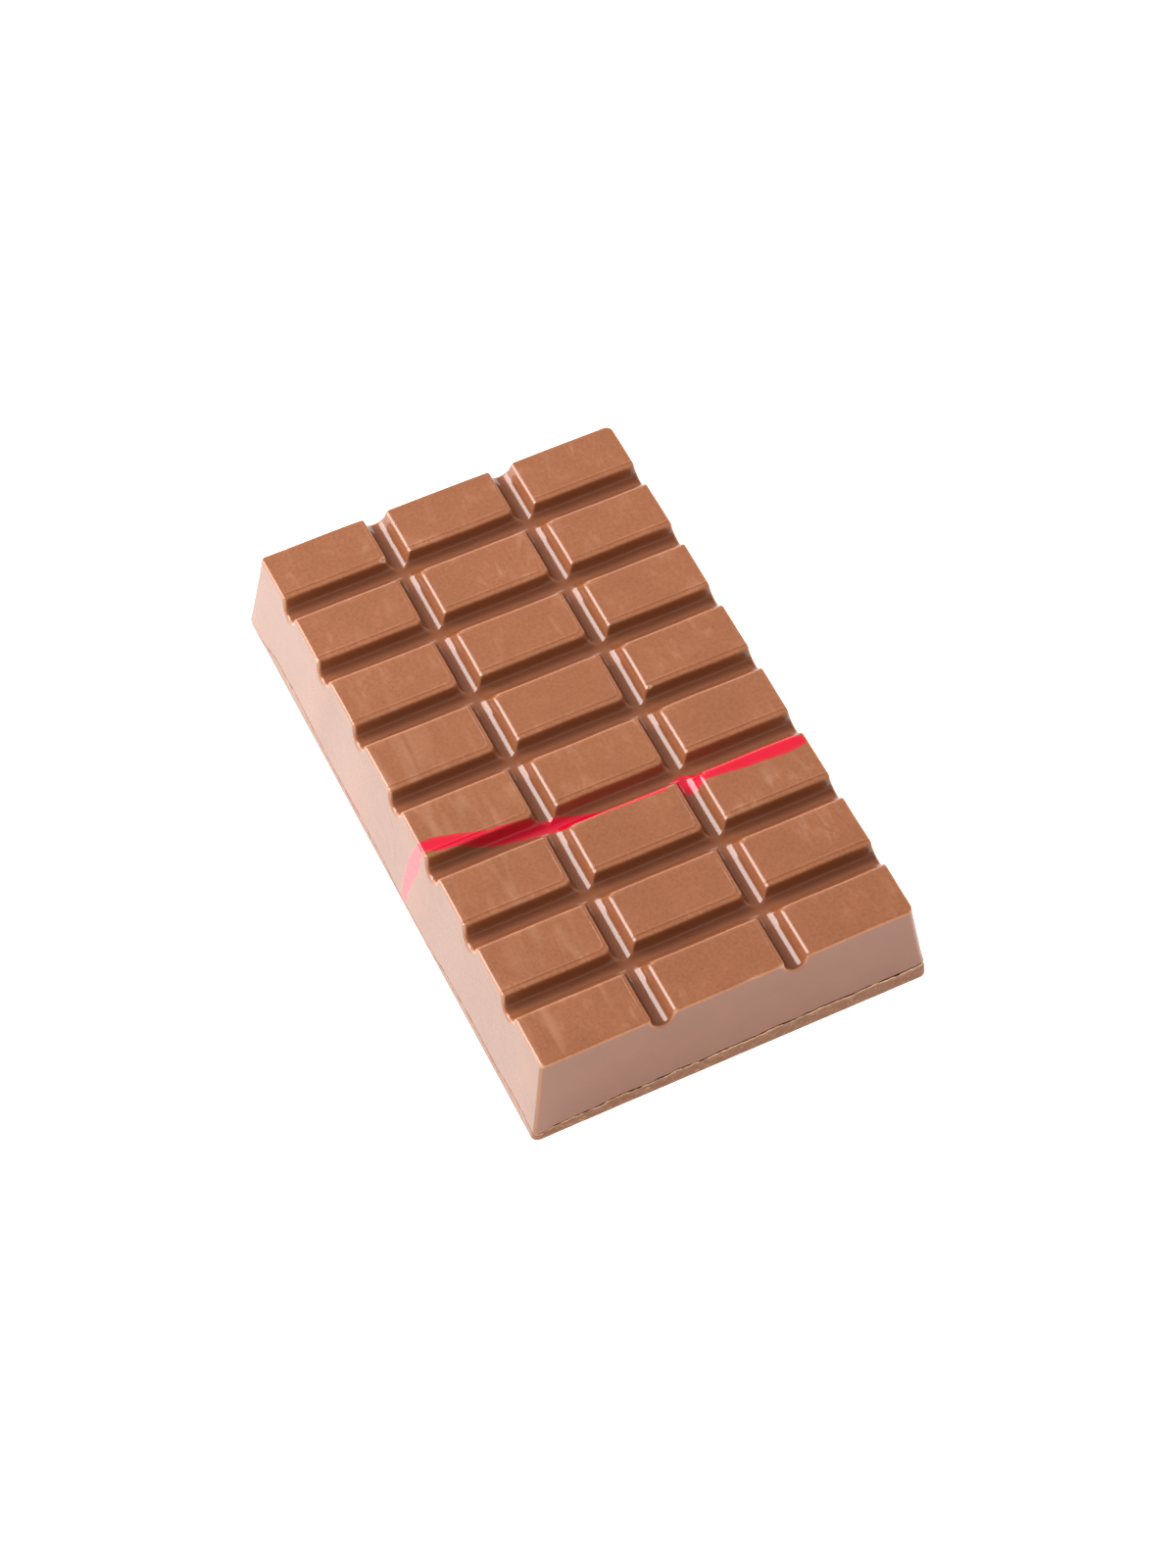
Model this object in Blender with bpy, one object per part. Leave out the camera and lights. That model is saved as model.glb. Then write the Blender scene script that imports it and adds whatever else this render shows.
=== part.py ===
"""A thick moulded chocolate bar of three by eight segments on a poured backing layer.

The frame: +Z up, +Y along the bar, the origin under the middle of the underside.
Every length is in metres.
"""

import math

import bmesh
import bpy
from mathutils import Matrix, Vector

# The whole bar, measured at its underside. The walls lean in towards the top.
BAR_LENGTH = 0.0970
BAR_WIDTH = 0.0600
BAR_HEIGHT = 0.0156
SIDE_DRAFT = 0.0023
END_DRAFT = 0.0019
CORNER_RADIUS = 0.0011
TOP_FILLET = 0.00045

# The grooves that part the segments. A width is the gap between two tops.
COLUMNS = 3
ROWS = 8
LONG_GROOVE_WIDTH = 0.0042
CROSS_GROOVE_WIDTH = 0.00405
GROOVE_DEPTH = 0.0019
GROOVE_WALL_LEAN = 0.0006
GROOVE_FLOOR_RADIUS = 0.0010

# The backing layer, poured last: thinner along the left side than along the right.
BACKING_LEFT = 0.0012
BACKING_RIGHT = 0.0031
SEAM_GAP = 0.0003

# Construction values.
ARC_STEPS = 4
CLEARANCE = 0.004
LIP_RISE = 0.00003
SMOOTH_BELOW = math.radians(35)

TOP_WIDTH = BAR_WIDTH - 2 * SIDE_DRAFT
TOP_LENGTH = BAR_LENGTH - 2 * END_DRAFT
COLUMN_PITCH = (TOP_WIDTH + LONG_GROOVE_WIDTH) / COLUMNS
ROW_PITCH = (TOP_LENGTH + CROSS_GROOVE_WIDTH) / ROWS


def clear_scene():
    """Empties the scene of whatever it opened with."""
    for obj in list(bpy.data.objects):
        bpy.data.objects.remove(obj, do_unlink=True)


def new_collection(name):
    """A collection linked to the scene."""
    collection = bpy.data.collections.new(name)
    bpy.context.scene.collection.children.link(collection)
    return collection


def chocolate(name, colour, roughness):
    """A Principled material with the colour given as linear red, green and blue."""
    material = bpy.data.materials.new(name)
    material.use_nodes = True
    shader = material.node_tree.nodes["Principled BSDF"]
    shader.inputs["Base Color"].default_value = (*colour, 1.0)
    shader.inputs["Roughness"].default_value = roughness
    shader.inputs["Metallic"].default_value = 0.0
    return material


def add_object(name, mesh, collection):
    """A named object that holds the mesh."""
    obj = bpy.data.objects.new(name, mesh)
    collection.objects.link(obj)
    return obj


def make_cutter(obj):
    """Marks an object as a tool that isn't part of the bar."""
    obj.hide_render = True
    obj.display_type = "WIRE"


def drafted_block(name, collection):
    """The bar's outer block: a cube drawn in towards the top, its corners and top edge rounded."""
    bm = bmesh.new()
    bmesh.ops.create_cube(bm, size=1.0)
    for vert in bm.verts:
        upper = vert.co.z > 0
        vert.co.x *= TOP_WIDTH if upper else BAR_WIDTH
        vert.co.y *= TOP_LENGTH if upper else BAR_LENGTH
        vert.co.z = BAR_HEIGHT if upper else 0.0
    upright = [edge for edge in bm.edges if abs(edge.verts[0].co.z - edge.verts[1].co.z) > 0]
    bmesh.ops.bevel(
        bm,
        geom=upright,
        offset=CORNER_RADIUS,
        segments=ARC_STEPS,
        profile=0.5,
        affect="EDGES",
    )
    rim = [edge for edge in bm.edges if min(vert.co.z for vert in edge.verts) > 0.99 * BAR_HEIGHT]
    bmesh.ops.bevel(
        bm,
        geom=rim,
        offset=TOP_FILLET,
        segments=ARC_STEPS - 1,
        profile=0.5,
        affect="EDGES",
    )
    mesh = bpy.data.meshes.new(name)
    bm.to_mesh(mesh)
    bm.free()
    return add_object(name, mesh, collection)


def arc(centre, radius, start, end):
    """Points on an arc from one angle to another, both ends included."""
    angles = [start + (end - start) * step / ARC_STEPS for step in range(ARC_STEPS + 1)]
    return [
        (centre[0] + radius * math.cos(angle), centre[1] + radius * math.sin(angle))
        for angle in angles
    ]


def groove_outline(width):
    """The section that a groove cuts away: rounded lips, leaning walls and a rounded floor.

    It is drawn as (across, up) with 0 up at the tops of the segments. Half of it is worked
    out and mirrored.
    """
    lean = math.atan2(GROOVE_WALL_LEAN, GROOVE_DEPTH)
    lip_shift = TOP_FILLET * math.tan((math.pi / 2 - lean) / 2)
    lip_centre = (width / 2 + lip_shift, LIP_RISE - TOP_FILLET)
    floor_half = width / 2 - GROOVE_WALL_LEAN
    floor_shift = GROOVE_FLOOR_RADIUS * math.tan((math.pi / 2 - lean) / 2)
    floor_centre = (floor_half - floor_shift, GROOVE_FLOOR_RADIUS - GROOVE_DEPTH)
    floor = arc(floor_centre, GROOVE_FLOOR_RADIUS, -math.pi / 2, -lean)
    lip = arc(lip_centre, TOP_FILLET, math.pi - lean, math.pi / 2)
    half = floor + lip + [(width / 2 + CLEARANCE / 4, CLEARANCE)]
    return half + [(-across, up) for across, up in reversed(half)]


def groove_cutter(name, width, length, collection):
    """A straight bar of the groove's section, made from a flat outline and lying along Y."""
    curve = bpy.data.curves.new(name + "_outline", "CURVE")
    curve.dimensions = "2D"
    curve.fill_mode = "BOTH"
    curve.extrude = length / 2
    outline = groove_outline(width)
    spline = curve.splines.new("POLY")
    spline.points.add(len(outline) - 1)
    for point, (across, up) in zip(spline.points, outline):
        point.co = (across, up, 0.0, 1.0)
    spline.use_cyclic_u = True
    drawn = add_object(name + "_outline", curve, collection)
    bpy.context.view_layer.update()
    graph = bpy.context.evaluated_depsgraph_get()
    mesh = bpy.data.meshes.new_from_object(drawn.evaluated_get(graph))
    bpy.data.objects.remove(drawn, do_unlink=True)
    bm = bmesh.new()
    bm.from_mesh(mesh)
    bmesh.ops.remove_doubles(bm, verts=bm.verts, dist=0.000001)
    bmesh.ops.recalc_face_normals(bm, faces=bm.faces)
    bm.to_mesh(mesh)
    bm.free()
    obj = add_object(name, mesh, collection)
    obj.rotation_euler = (math.pi / 2, 0.0, 0.0)
    make_cutter(obj)
    return obj


def groove_cutters(collection):
    """One cutter for each groove, along the bar and across it."""
    for number in range(1, COLUMNS):
        name = f"long_groove_{number}"
        cutter = groove_cutter(name, LONG_GROOVE_WIDTH, BAR_LENGTH + CLEARANCE, collection)
        cutter.location = ((number - COLUMNS / 2) * COLUMN_PITCH, 0.0, BAR_HEIGHT)
    for number in range(1, ROWS):
        name = f"cross_groove_{number}"
        cutter = groove_cutter(name, CROSS_GROOVE_WIDTH, BAR_WIDTH + CLEARANCE, collection)
        cutter.rotation_euler.z = math.pi / 2
        cutter.location = (0.0, (number - ROWS / 2) * ROW_PITCH, BAR_HEIGHT)


def seam_cutter(name, side, collection):
    """A slab over (side 1) or under (side -1) the sloping seam, which it passes by half the gap."""
    slope = math.atan2(BACKING_RIGHT - BACKING_LEFT, BAR_WIDTH)
    middle = Vector((0.0, 0.0, (BACKING_LEFT + BACKING_RIGHT) / 2))
    thickness = BAR_HEIGHT + CLEARANCE
    turn = Matrix.Rotation(-slope, 4, "Y")
    normal = turn @ Vector((0.0, 0.0, side))
    centre = middle + normal * (thickness / 2 - SEAM_GAP / 2)
    size = Matrix.Diagonal((BAR_WIDTH + CLEARANCE, BAR_LENGTH + CLEARANCE, thickness, 1.0))
    bm = bmesh.new()
    bmesh.ops.create_cube(bm, size=1.0, matrix=Matrix.Translation(centre) @ turn @ size)
    mesh = bpy.data.meshes.new(name)
    bm.to_mesh(mesh)
    bm.free()
    obj = add_object(name, mesh, collection)
    make_cutter(obj)
    return obj


def cut(obj, name):
    """A Boolean difference on the object, ready to be given its cutter."""
    modifier = obj.modifiers.new(name, "BOOLEAN")
    modifier.operation = "DIFFERENCE"
    modifier.solver = "EXACT"
    return modifier


def shade(obj, material):
    """Gives the object its material and smooth rounded edges."""
    obj.data.materials.clear()
    obj.data.materials.append(material)
    obj.data.shade_smooth()
    obj.data.set_sharp_from_angle(angle=SMOOTH_BELOW)


def moulded_bar(parts, tools):
    """The upper body: the drafted block with its grooves, cut off just above the seam."""
    grooves = bpy.data.collections.new("groove_cutters")
    tools.children.link(grooves)
    groove_cutters(grooves)
    obj = drafted_block("moulded_bar", parts)
    grooving = cut(obj, "grooves")
    grooving.operand_type = "COLLECTION"
    grooving.collection = grooves
    cut(obj, "seam").object = seam_cutter("under_seam", -1, tools)
    shade(obj, chocolate("milk_chocolate", (0.46, 0.165, 0.075), 0.38))
    return obj


def base_layer(parts, tools):
    """The backing layer: the foot of the same drafted block, cut off just below the seam."""
    obj = drafted_block("base_layer", parts)
    cut(obj, "seam").object = seam_cutter("over_seam", 1, tools)
    shade(obj, chocolate("backing_chocolate", (0.36, 0.155, 0.085), 0.55))
    return obj


clear_scene()
bar_parts = new_collection("chocolate_bar")
bar_tools = new_collection("cutters")
moulded_bar(bar_parts, bar_tools)
base_layer(bar_parts, bar_tools)
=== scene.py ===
"""Looks for a thick moulded chocolate bar: a glossy milk chocolate bar of three by eight segments, with a
brushed red stroke, on the rougher layer that was poured last and closed its back.

Lengths are in millimetres until a surface is written to its mesh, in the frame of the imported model:
+Z up, +Y along the bar, the origin under the middle of the underside.
"""

import math

import bpy
import numpy as np
from mathutils import Matrix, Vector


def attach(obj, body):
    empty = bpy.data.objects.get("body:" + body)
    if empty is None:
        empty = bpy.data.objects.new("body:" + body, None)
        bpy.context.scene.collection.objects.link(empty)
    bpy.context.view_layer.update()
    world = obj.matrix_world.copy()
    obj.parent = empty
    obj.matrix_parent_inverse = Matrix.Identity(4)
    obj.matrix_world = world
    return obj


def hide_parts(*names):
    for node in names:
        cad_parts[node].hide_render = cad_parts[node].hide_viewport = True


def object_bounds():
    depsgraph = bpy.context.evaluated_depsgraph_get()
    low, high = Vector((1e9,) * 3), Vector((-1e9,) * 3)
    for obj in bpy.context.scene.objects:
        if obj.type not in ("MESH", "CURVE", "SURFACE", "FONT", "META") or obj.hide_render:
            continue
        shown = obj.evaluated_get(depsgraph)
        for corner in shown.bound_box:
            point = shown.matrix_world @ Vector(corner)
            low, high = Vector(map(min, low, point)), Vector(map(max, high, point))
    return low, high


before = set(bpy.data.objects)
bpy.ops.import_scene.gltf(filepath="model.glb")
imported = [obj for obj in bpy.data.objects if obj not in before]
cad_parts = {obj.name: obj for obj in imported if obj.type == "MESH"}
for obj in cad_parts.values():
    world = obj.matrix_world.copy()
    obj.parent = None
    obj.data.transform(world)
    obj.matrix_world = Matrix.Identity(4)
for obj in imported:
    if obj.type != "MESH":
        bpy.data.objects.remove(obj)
cad_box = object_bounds()


# ---------------------------------------------------------------------------------------------------------
# The moulded bar. Tempered milk chocolate that set in a polished mould, so its walls lean in towards the
# top and it came out with the mould's gloss. Two long grooves and seven cross grooves, round at the bottom,
# part its top into segments whose edges are soft.

MM = 0.001
low, high = (np.array(corner) / MM for corner in (cad_box[0], cad_box[1]))
HALF_WIDTH = (high[0] - low[0]) / 2
HALF_LENGTH = (high[1] - low[1]) / 2
HEIGHT = high[2] - low[2]
# How far the long and the short walls lean in by the top, and the radii of the upright corners.
SIDE_DRAFT = 2.3
END_DRAFT = 1.9
LEFT_CORNER = 0.65
RIGHT_CORNER = 1.05

COLUMNS = 3
ROWS = 8
# The round floor of a groove, and the height of its centre.
GROOVE_RADIUS = 1.5
LONG_GROOVE_CENTRE = HEIGHT - 0.55
CROSS_GROOVE_CENTRE = HEIGHT - 0.65
# Each side of a groove is spread this far from its middle and its wall leans this much. The walls that face
# left lean most.
LONG_GROOVE_WALLS = ((0.13, math.radians(11)), (-0.08, math.radians(22)))
CROSS_GROOVE_WALLS = ((-0.01, math.radians(11)), (0.16, math.radians(17)))
# The widths of the grooves' mouths part the top into equal segments.
LONG_GROOVE_WIDTH = 4.2
CROSS_GROOVE_WIDTH = 4.05
COLUMN_PITCH = (2 * (HALF_WIDTH - SIDE_DRAFT) + LONG_GROOVE_WIDTH) / COLUMNS
ROW_PITCH = (2 * (HALF_LENGTH - END_DRAFT) + CROSS_GROOVE_WIDTH) / ROWS
LONG_GROOVES = (np.arange(1, COLUMNS) - COLUMNS / 2) * COLUMN_PITCH
CROSS_GROOVES = (np.arange(1, ROWS) - ROWS / 2) * ROW_PITCH

# How far the rounding reaches at each lip of a groove, at the bar's own rims, and where a groove's mouth
# opens through a wall. The mould was cut softer on the sides that face left or away than on the others.
LEFT_LIP = 0.5
RIGHT_LIP = 0.16
NEAR_LIP = 0.16
FAR_LIP = 0.8
FRONT_RIM = 0.34
LEFT_RIM = 0.4
MOUTH_LIP = 0.6
# The upright edges at a segment's corners are sharp at the grooves' floors and this round at the top, by
# the way they face: near right, near left, far right, far left.
FLOOR_BLEND = 0.12
CORNER_BLENDS = (1.0, 0.35, 0.5, 1.3)
# A fine step that the mould left inside each segment's near and right edges: its height, how far in from
# those edges it is, how round it turns the corner between them, and how gently it falls.
STEP = 0.026
NEAR_STEP = 0.62
RIGHT_STEP = 0.26
STEP_TURN = 0.9
STEP_SLOPE = 0.09

# The crack above the backing: low along the left side, where the backing was scraped thin in places and its
# height is given along the bar, and higher along the right.
SEAM_LEFT = 1.2
SEAM_RIGHT = 3.1
CRACK = 0.21
LEFT_SEAM = np.array([
    (-48.5, 1.3), (-41, 2.1), (-37, 1.4), (-28, 1.6), (-18.5, 1.2), (-15.5, 0.5), (-5, 0.5), (0, 1.1),
    (8, 1.4), (17, 1.2), (25, 1.6), (32, 2.2), (39, 2.0), (43, 0.7), (44.5, 0.3), (48.5, 0.3),
])

# Bruised corners of segments and a flake off the front edge, as places and sizes.
BRUISES = np.array([
    (-28.2, 26.6, 15.7, 0.55), (-12.0, 38.5, 15.75, 0.5), (7.9, -47.1, 15.75, 0.6), (12.1, 1.8, 15.75, 0.4),
    (-8.5, -47.2, 15.8, 0.75), (3.5, -46.8, 15.75, 0.35), (-27.9, -46.8, 15.8, 0.6),
])


def waves(x, y, length, seed, count=9):
    """Smooth unevenness from -1 to 1: a mean of plane sine waves of about one wavelength, whose directions
    and phases come from the seed."""
    rng = np.random.default_rng(seed)
    angle = rng.uniform(0, math.pi, count)
    phase = rng.uniform(0, 2 * math.pi, count)
    size = 2 * math.pi / (length * rng.uniform(0.6, 1.6, count))
    total = np.zeros(np.broadcast(x, y).shape)
    for a, p, k in zip(angle, phase, size):
        total = total + np.sin(k * (x * math.cos(a) + y * math.sin(a)) + p)
    return total / math.sqrt(count)


def soft_max(a, b, blend):
    """The larger of two distances, with the corner between them rounded: where they differ by less than
    blend, the square of what is left over is added."""
    near = np.maximum(blend - np.abs(a - b), 0)
    return np.maximum(a, b) + near * near / (4 * blend)


def wall_distance(x, y, z):
    """Distance outside the leaning outer wall: that to a rounded rectangle which shrinks with height."""
    rise = z / HEIGHT
    radius = np.where(x < 0, LEFT_CORNER, RIGHT_CORNER)
    across = np.abs(x) - (HALF_WIDTH - SIDE_DRAFT * rise - radius)
    along = np.abs(y) - (HALF_LENGTH - END_DRAFT * rise - radius)
    outside = np.hypot(np.maximum(across, 0), np.maximum(along, 0))
    return (outside + np.minimum(np.maximum(across, along), 0) - radius) * math.cos(SIDE_DRAFT / HEIGHT)


def groove_distance(place, centres, z, middle, walls):
    """Distance inside the nearest of a row of grooves, and how far past its middle line the place is. A
    section is the lower part of a circle round the middle height, then a straight wall on each side; walls
    gives how far each side is spread from the middle and how far its wall leans outwards."""
    offset = place[..., None] - centres
    offset = np.take_along_axis(offset, np.abs(offset).argmin(-1)[..., None], -1)[..., 0]
    later = offset > 0
    spread = np.where(later, walls[1][0], walls[0][0])
    lean = np.where(later, walls[1][1], walls[0][1])
    a = np.abs(offset) - spread
    b = z - middle
    up_wall = a * np.sin(lean) + b * np.cos(lean)
    to_wall = GROOVE_RADIUS - (a * np.cos(lean) - b * np.sin(lean))
    to_floor = GROOVE_RADIUS - np.hypot(np.maximum(a, 0), b)
    return np.where(up_wall > 0, to_wall, to_floor), offset


def part_distances(x, y, z):
    """Distances outside the wall and inside the long and the cross grooves, how far past each kind of
    groove's middle the place is, and its height. The place is first shifted by waves a few hundredths of a
    millimetre high and about a centimetre long, because a bar shrinks unevenly as it sets."""
    x = x + 0.03 * waves(x, y, 14, 1)
    y = y + 0.03 * waves(x, y, 11, 2)
    z = z + 0.012 * waves(x, y, 9, 3)
    long_groove, past_long = groove_distance(x, LONG_GROOVES, z, LONG_GROOVE_CENTRE, LONG_GROOVE_WALLS)
    cross_groove, past_cross = groove_distance(y, CROSS_GROOVES, z, CROSS_GROOVE_CENTRE, CROSS_GROOVE_WALLS)
    return wall_distance(x, y, z), long_groove, cross_groove, past_long, past_cross, z


def body_distance(x, y, z):
    """Distance outside the bar: the largest of those outside its top, outside its wall and inside a groove,
    each pair joined by soft_max with the softness of the edge between them."""
    wall, long_groove, cross_groove, past_long, past_cross, z = part_distances(x, y, z)
    faces_left = past_long > 0
    faces_near = past_cross > 0
    # The step is far off, by a whole segment, from the edges that have none.
    near_step = np.where(faces_near, NEAR_STEP + cross_groove, -9)
    right_step = np.where(faces_left, -9, RIGHT_STEP + long_groove)
    past_step = soft_max(near_step, right_step, STEP_TURN) / STEP_SLOPE
    fall = STEP * (1 + np.tanh(past_step)) / 2 - 1.2 * STEP * np.exp(-((past_step + 1.6) ** 2))
    top = z - HEIGHT + 1.2 * STEP + fall
    # Each rim and lip gives way to the next over a short stretch, so none of them ends at a line.
    side = np.clip(0.5 + (np.abs(x) - HALF_WIDTH - np.abs(y) + HALF_LENGTH), 0, 1)
    end_rim = np.where(y < 0, FRONT_RIM, NEAR_LIP)
    rim = end_rim + (np.where(x < 0, LEFT_RIM, RIGHT_LIP) - end_rim) * side
    block = soft_max(top, wall, rim)
    share = np.clip(0.5 + (long_groove - cross_groove) / 0.4, 0, 1)
    lip = np.where(faces_near, NEAR_LIP, FAR_LIP) * (1 - share)
    lip = lip + np.where(faces_left, LEFT_LIP, RIGHT_LIP) * share
    lip = lip + (MOUTH_LIP - lip) * np.clip(0.5 + (wall - top) / 0.6, 0, 1)
    leftness = np.clip(0.5 + past_long / 1.4, 0, 1)
    nearness = np.clip(0.5 + past_cross / 1.4, 0, 1)
    near_right, near_left, far_right, far_left = CORNER_BLENDS
    near_blend = near_right + (near_left - near_right) * leftness
    far_blend = far_right + (far_left - far_right) * leftness
    blend = far_blend + (near_blend - far_blend) * nearness
    blend = FLOOR_BLEND + (blend - FLOOR_BLEND) * np.clip((z - HEIGHT + 1.7) / 1.5, 0, 1)
    body = soft_max(block, soft_max(long_groove, cross_groove, blend), lip)
    for centre_x, centre_y, centre_z, radius in BRUISES:
        away = np.sqrt((x - centre_x) ** 2 + (y - centre_y) ** 2 + (z - centre_z) ** 2)
        body = soft_max(body, radius - away, 0.1)
    return body


def seam_height(x, y):
    """Height of the crack above the backing: a slope across the bar, which gives way to the scraped left
    side's own heights near that side, and waves of three lengths that make it ragged."""
    slope = SEAM_LEFT + (SEAM_RIGHT - SEAM_LEFT) * np.clip(x / HALF_WIDTH * 0.5 + 0.5, 0, 1) ** 0.35
    left = np.clip((x + HALF_WIDTH - 3.5) / -2.5, 0, 1)
    height = slope + (np.interp(y, LEFT_SEAM[:, 0], LEFT_SEAM[:, 1]) - slope) * left
    waver = 0.1 * waves(x, y, 6, 4) + 0.06 * waves(x, y, 1.7, 5) + 0.04 * waves(x, y, 0.7, 6)
    return np.maximum(height + waver * (1 - 0.5 * left), 0.1)


def corner_block(across, along, radius, first_across, first_along):
    """Plan of one corner, as distances from the bar's centre lines. Ring k is a rounded rectangle; it is
    walked from the side's first inner line round the corner to the end's, in equal steps of its length."""
    count = len(across)
    j, i = np.mgrid[0 : count + 1, 0 : count + 1]
    ring = np.minimum(np.minimum(i, j), count - 1)
    steps = np.where(i <= j, count - j, count - ring + i - ring)
    share = steps / (2 * (count - ring))
    a, b, r = across[ring], along[ring], radius[ring]
    side = b - r - first_along
    end = a - r - first_across
    walked = share * (side + end + r * math.pi / 2)
    turn = np.clip((walked - side) / np.maximum(r, 1e-9), 0, math.pi / 2)
    past = np.maximum(walked - side - r * math.pi / 2, 0)
    x = a - r + r * np.cos(turn) - past
    y = first_along + np.minimum(walked, side) + r * np.sin(turn)
    x[-1, -1] = first_across
    y[-1, -1] = first_along
    return x, y


def plan_grid(across, along, left_radius, right_radius, inner_x, inner_y):
    """Plan of the whole bar: nested rounded rectangles round a block of straight lines."""
    rings = len(across)
    x = np.empty((2 * rings + len(inner_y), 2 * rings + len(inner_x)))
    y = np.empty_like(x)
    inside_x = slice(rings, rings + len(inner_x))
    inside_y = slice(rings, rings + len(inner_y))
    x[:, inside_x] = inner_x
    y[inside_y, :] = inner_y[:, None]
    x[inside_y, :rings] = -across
    x[inside_y, -rings:] = across[::-1]
    y[:rings, inside_x] = -along[:, None]
    y[-rings:, inside_x] = along[::-1, None]
    block_x, block_y = corner_block(across, along, left_radius, inner_x[-1], inner_y[-1])
    block_x, block_y = block_x[:rings, :rings], block_y[:rings, :rings]
    x[:rings, :rings], y[:rings, :rings] = -block_x, -block_y
    x[-rings:, :rings], y[-rings:, :rings] = -block_x[::-1], block_y[::-1]
    block_x, block_y = corner_block(across, along, right_radius, inner_x[-1], inner_y[-1])
    block_x, block_y = block_x[:rings, :rings], block_y[:rings, :rings]
    x[:rings, -rings:], y[:rings, -rings:] = block_x[:, ::-1], -block_y[:, ::-1]
    x[-rings:, -rings:], y[-rings:, -rings:] = block_x[::-1, ::-1], block_y[::-1, ::-1]
    return x, y


def groove_stations(middle, walls, steps, lips):
    """Distances from a groove's middle at which its section is sampled: even steps of angle round the
    floor, a few on the wall, then those given past each lip."""
    sides = []
    for (spread, lean), count, past_lip in zip(walls, steps, lips):
        floor = GROOVE_RADIUS * np.sin(np.linspace(0, math.pi / 2 - lean, count)[1:]) + spread
        opening = (GROOVE_RADIUS + (HEIGHT - middle) * math.sin(lean)) / math.cos(lean) + spread
        wall = np.linspace(floor[-1], opening - 0.03, 5)[1:]
        sides.append(np.concatenate([floor, wall, opening + np.array(past_lip)]))
    return np.concatenate([-sides[0][::-1], [0.0], sides[1]])


def inner_lines(centres, pitch, stations, edge, tops):
    """Lines across one direction of the top: the stations of every groove, with a few between them."""
    lines = [centre + stations for centre in centres]
    plain = pitch - stations[-1] + stations[0]
    share = np.linspace(0, 1, tops + 1)[1:-1]
    lines += [centre + stations[-1] + plain * share for centre in centres[:-1]]
    for start, end in ((-edge, centres[0] + stations[0]), (edge, centres[-1] + stations[-1])):
        lines.append(start + (end - start) * np.linspace(0, 1, tops)[:-1])
    return np.sort(np.concatenate(lines))


def put_mesh(name, points, faces):
    """A smooth-shaded object from points in millimetres and faces as rows of point numbers."""
    mesh = bpy.data.meshes.new(name)
    sides = faces.shape[1]
    mesh.vertices.add(len(points))
    mesh.vertices.foreach_set("co", (points * MM).astype(np.float32).ravel())
    mesh.loops.add(faces.size)
    mesh.loops.foreach_set("vertex_index", faces.astype(np.int32).ravel())
    mesh.polygons.add(len(faces))
    mesh.polygons.foreach_set("loop_start", np.arange(0, faces.size, sides, dtype=np.int32))
    mesh.polygons.foreach_set("use_smooth", np.ones(len(faces), bool))
    mesh.update(calc_edges=True)
    mesh.validate()
    piece = bpy.data.objects.new(name, mesh)
    bpy.context.scene.collection.objects.link(piece)
    return piece


# Rings up the wall, over its rim and onto the top, from the foot: insets from the foot's outline.
foot_rise = np.array([0.0, 0.04, 0.12, 0.25, 0.5])
wall_rise = np.linspace(1.5, HEIGHT - 3.2, 7)
heights = np.concatenate([foot_rise, wall_rise, np.linspace(HEIGHT - 2.6, HEIGHT - 0.5, 12)])
inset = np.concatenate([
    heights / HEIGHT,
    1 - np.array([0.42, 0.34, 0.26, 0.19, 0.12, 0.06]) / HEIGHT,
])
beyond = np.array([0.02, 0.06, 0.12, 0.22, 0.34, 0.48, 0.62, 0.76, 0.9, 1.2])
ring_across = np.concatenate([HALF_WIDTH - SIDE_DRAFT * inset, HALF_WIDTH - SIDE_DRAFT - beyond])
ring_along = np.concatenate([HALF_LENGTH - END_DRAFT * inset, HALF_LENGTH - END_DRAFT - beyond])
shrink = np.concatenate([np.zeros(len(inset)), beyond])
left_radius = np.maximum(LEFT_CORNER - shrink, 0.02)
right_radius = np.maximum(RIGHT_CORNER - shrink, 0.02)
right_lip = (0.0, 0.04, 0.09, 0.14, 0.19, 0.24, 0.31, 0.4, 0.5, 0.65, 0.85, 1.2)
left_lip = (0.0, 0.05, 0.1, 0.16, 0.23, 0.3, 0.38, 0.48, 0.6, 0.75, 0.95, 1.25)
far_lip = (0.0, 0.06, 0.12, 0.2, 0.3, 0.4, 0.52, 0.66, 0.85, 1.2)
near_lip = (0.0, 0.04, 0.09, 0.16, 0.24, 0.34, 0.44, 0.51, 0.57, 0.62, 0.67, 0.74, 0.9, 1.2)
long_stations = groove_stations(LONG_GROOVE_CENTRE, LONG_GROOVE_WALLS, (7, 15), (right_lip, left_lip))
cross_stations = groove_stations(CROSS_GROOVE_CENTRE, CROSS_GROOVE_WALLS, (6, 9), (far_lip, near_lip))
inner_x = inner_lines(LONG_GROOVES, COLUMN_PITCH, long_stations, ring_across[-1] - 0.3, 8)
inner_y = inner_lines(CROSS_GROOVES, ROW_PITCH, cross_stations, ring_along[-1] - 0.3, 6)
x, y = plan_grid(ring_across, ring_along, left_radius, right_radius, inner_x, inner_y)

rows, columns = x.shape
j, i = np.mgrid[0:rows, 0:columns]
ring = np.minimum(np.minimum(i, j), np.minimum(columns - 1 - i, rows - 1 - j))
ring = np.minimum(ring, len(ring_across) - 1)
on_wall = ring < len(foot_rise) + len(wall_rise)

# Each point above the plain wall drops straight down onto the body, whose surface is found by halving.
floor_z = np.full(x.shape, HEIGHT - 3.4)
roof_z = np.full(x.shape, HEIGHT + 0.5)
for _ in range(26):
    middle = (floor_z + roof_z) / 2
    outside = body_distance(x, y, middle) > 0
    roof_z = np.where(outside, middle, roof_z)
    floor_z = np.where(outside, floor_z, middle)
z = np.minimum((floor_z + roof_z) / 2, HEIGHT)

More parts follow.
